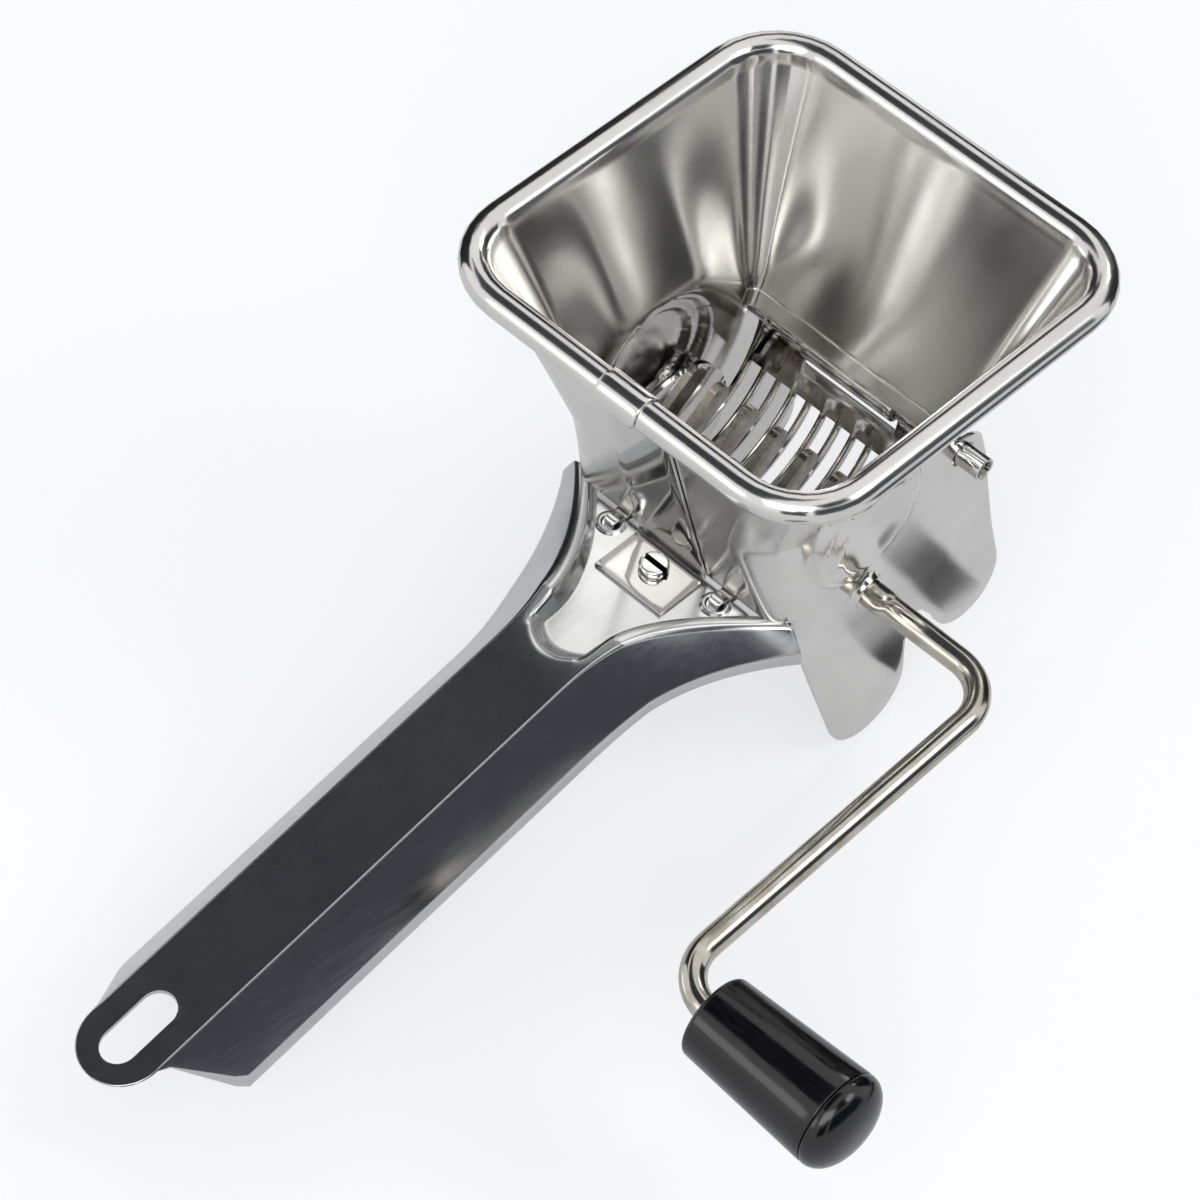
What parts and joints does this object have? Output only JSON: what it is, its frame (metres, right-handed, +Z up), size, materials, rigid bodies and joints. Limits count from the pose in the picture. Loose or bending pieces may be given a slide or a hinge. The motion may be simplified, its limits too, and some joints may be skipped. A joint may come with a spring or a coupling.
{
  "type": "rotary herb mill",
  "caption": "Hand-cranked rotary herb mill: square hinged hopper, finger rotor turning through a slotted curved sieve, channel handle with hanging slot, black spinning grip.",
  "frame": {"origin": "Centre of the square hopper mouth, in the middle plane of the rolled rim.", "axes": "+Z up out of the mouth, +X along the crank shaft towards the crank, the handle runs towards -Y."},
  "size_m": [0.1365, 0.1937, 0.103],
  "materials": {
    "bright_steel": "bright pressed sheet, lightly worn",
    "plated_steel": "bright plated wire and fasteners",
    "rotor_steel": "dull brownish stamped steel",
    "black_plastic": "glossy black moulding"
  },
  "bodies": {
    "handle": {"handle": "bright_steel", "sieve": "bright_steel", "latch_foot": "bright_steel", "latch_screw": "plated_steel", "latch_nut": "plated_steel"},
    "latch": {"latch_leaf": "bright_steel"},
    "hopper": {"hopper": "bright_steel", "rim_roll": "bright_steel", "rim_sleeve": "bright_steel"},
    "rotor": {"crank_rod": "plated_steel", "blade_spacers": "rotor_steel", "end_disc_left": "rotor_steel", "end_disc_right": "rotor_steel", "shaft_washer": "plated_steel", "grip_clip": "plated_steel", "blade_1": "rotor_steel", "blade_2": "rotor_steel", "blade_3": "rotor_steel", "blade_4": "rotor_steel", "blade_5": "rotor_steel", "blade_6": "rotor_steel", "blade_7": "rotor_steel", "blade_8": "rotor_steel", "blade_9": "rotor_steel", "blade_10": "rotor_steel", "blade_11": "rotor_steel", "blade_12": "rotor_steel"},
    "grip": {"grip": "black_plastic", "grip_cap": "black_plastic"}
  },
  "joints": [
    {"name": "hopper_hinge", "type": "hinge", "parent": "handle", "child": "hopper", "pos_m": [0, 0.0215, -0.042], "axis": [1, 0, 0], "range_deg": [-20, 0]},
    {"name": "crank_spin", "type": "hinge", "parent": "hopper", "child": "rotor", "pos_m": [0, 0, -0.0595], "axis": [1, 0, 0], "continuous": true},
    {"name": "grip_spin", "type": "hinge", "parent": "rotor", "child": "grip", "pos_m": [0.076, -0.0784, -0.06347], "axis": [1, 0, 0], "continuous": true},
    {"name": "latch_flex", "type": "hinge", "parent": "handle", "child": "latch", "pos_m": [0, -0.0222, -0.053], "axis": [1, 0, 0], "range_deg": [0, 10], "stiffness_Nm_per_rad": 0.5}
  ]
}
